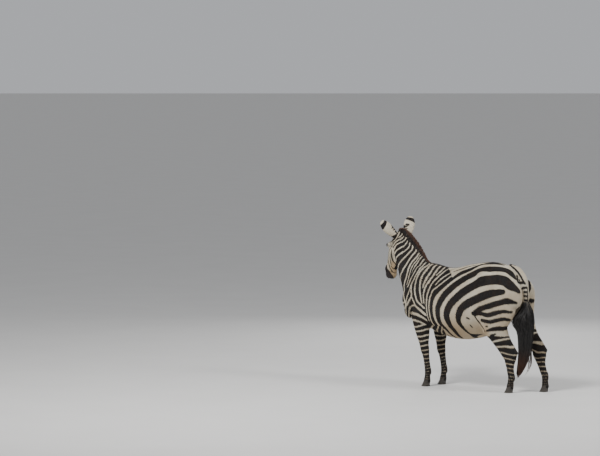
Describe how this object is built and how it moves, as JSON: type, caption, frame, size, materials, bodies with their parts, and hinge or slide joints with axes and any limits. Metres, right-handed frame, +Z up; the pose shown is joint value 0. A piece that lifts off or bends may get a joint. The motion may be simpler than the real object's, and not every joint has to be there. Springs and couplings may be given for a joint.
{
  "type": "plains zebra",
  "caption": "Standing round-bellied plains zebra mare, head raised and turned away to the right, one hind leg stretched back, striped coat, upright mane and tufted tail.",
  "frame": {"origin": "on the floor, under the middle of the whole animal's box", "axes": "+X forward along the trunk, +Y the animal's left, +Z up"},
  "size_m": [2.0352, 0.596, 1.8103],
  "materials": {
    "coat": "short flat striped hair, black-brown on cream",
    "hair": "long coarse hair, black-brown with rusty tips",
    "hoof": "dark horn, worn matt",
    "eye": "wet dark brown"
  },
  "bodies": {
    "root": {"ear_left": "coat", "ear_right": "coat", "eye_left": "eye", "eye_right": "eye", "fore_left_lower": "coat", "fore_left_upper": "coat", "fore_right_lower": "coat", "fore_right_upper": "coat", "head": "coat", "hind_left_lower": "coat", "hind_left_upper": "coat", "hind_right_lower": "coat", "hind_right_upper": "coat", "hoof_fore_left": "hoof", "hoof_fore_right": "hoof", "hoof_hind_left": "hoof", "hoof_hind_right": "hoof", "mane": "hair", "neck": "coat", "tail_dock": "coat", "tail_hair": "hair", "trunk": "coat"}
  },
  "joints": []
}
